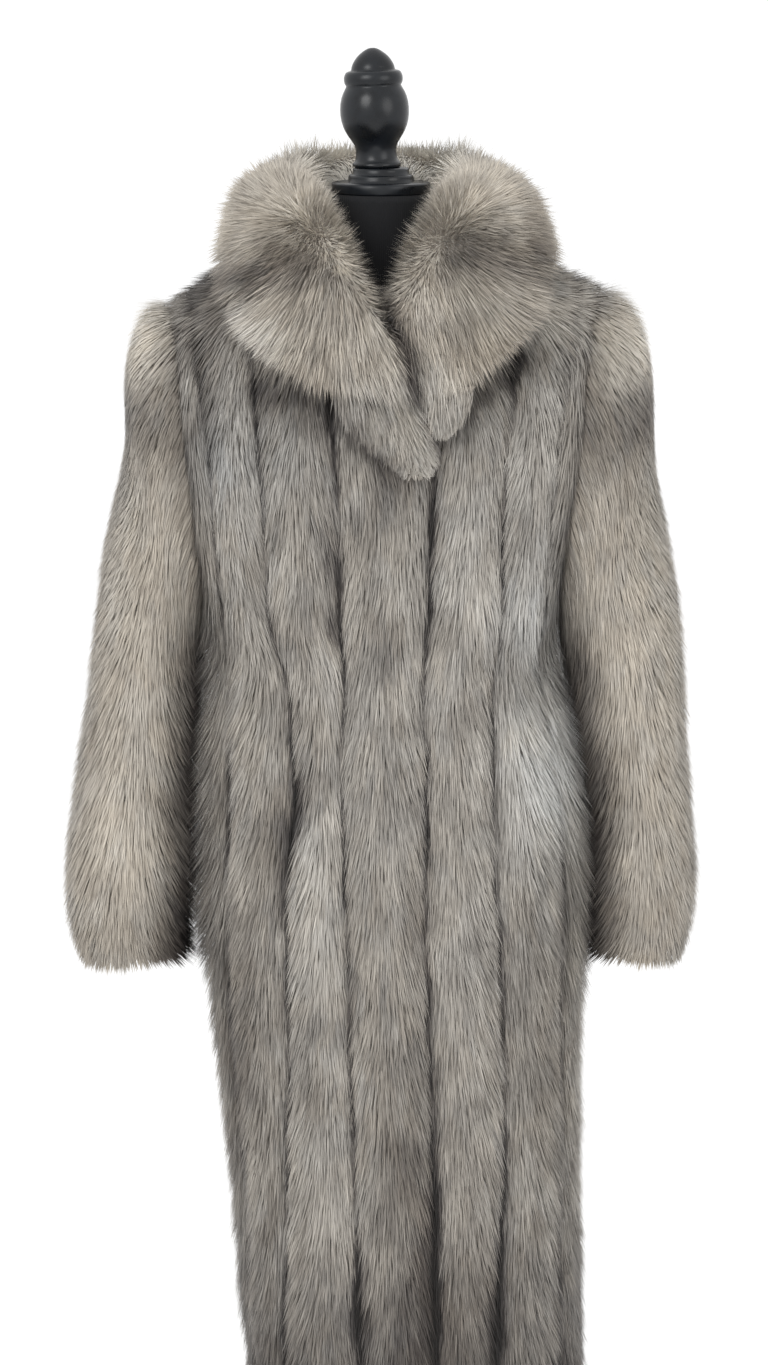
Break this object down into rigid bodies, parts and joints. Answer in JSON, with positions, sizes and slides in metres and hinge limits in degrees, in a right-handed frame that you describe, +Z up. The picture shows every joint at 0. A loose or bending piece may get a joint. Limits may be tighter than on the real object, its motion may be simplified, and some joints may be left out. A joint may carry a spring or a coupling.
{
  "type": "fur coat on limbless dress form",
  "caption": "Full-length long-haired fur coat with a wide fold-over collar and set-in sleeves, closed on a limbless dress form with a turned finial and a round base.",
  "frame": {"origin": "centre of the round base's underside, on the floor", "axes": "+Z up along the pole, the coat's front faces -Y, the wearer's right side is at -X"},
  "size_m": [0.626, 0.38, 1.6545],
  "materials": {
    "silver_fur": "long silver-grey fur with darker guard-hair tips, matte",
    "cream_fur": "long cream-grey fur with darker guard-hair tips, matte",
    "black_jersey": "fine black knit jersey, matte",
    "black_lacquered_wood": "black lacquer on turned wood, satin",
    "black_metal": "black painted steel tube, satin"
  },
  "bodies": {
    "root": {"front_right": "silver_fur", "front_left": "silver_fur", "back_right": "silver_fur", "back_left": "silver_fur", "sleeve_right": "cream_fur", "sleeve_left": "cream_fur", "collar": "cream_fur", "lapel_right": "cream_fur", "lapel_left": "cream_fur", "form_torso": "black_jersey", "neck_cap": "black_lacquered_wood", "finial": "black_lacquered_wood", "base": "black_lacquered_wood", "pole": "black_metal"}
  },
  "joints": []
}
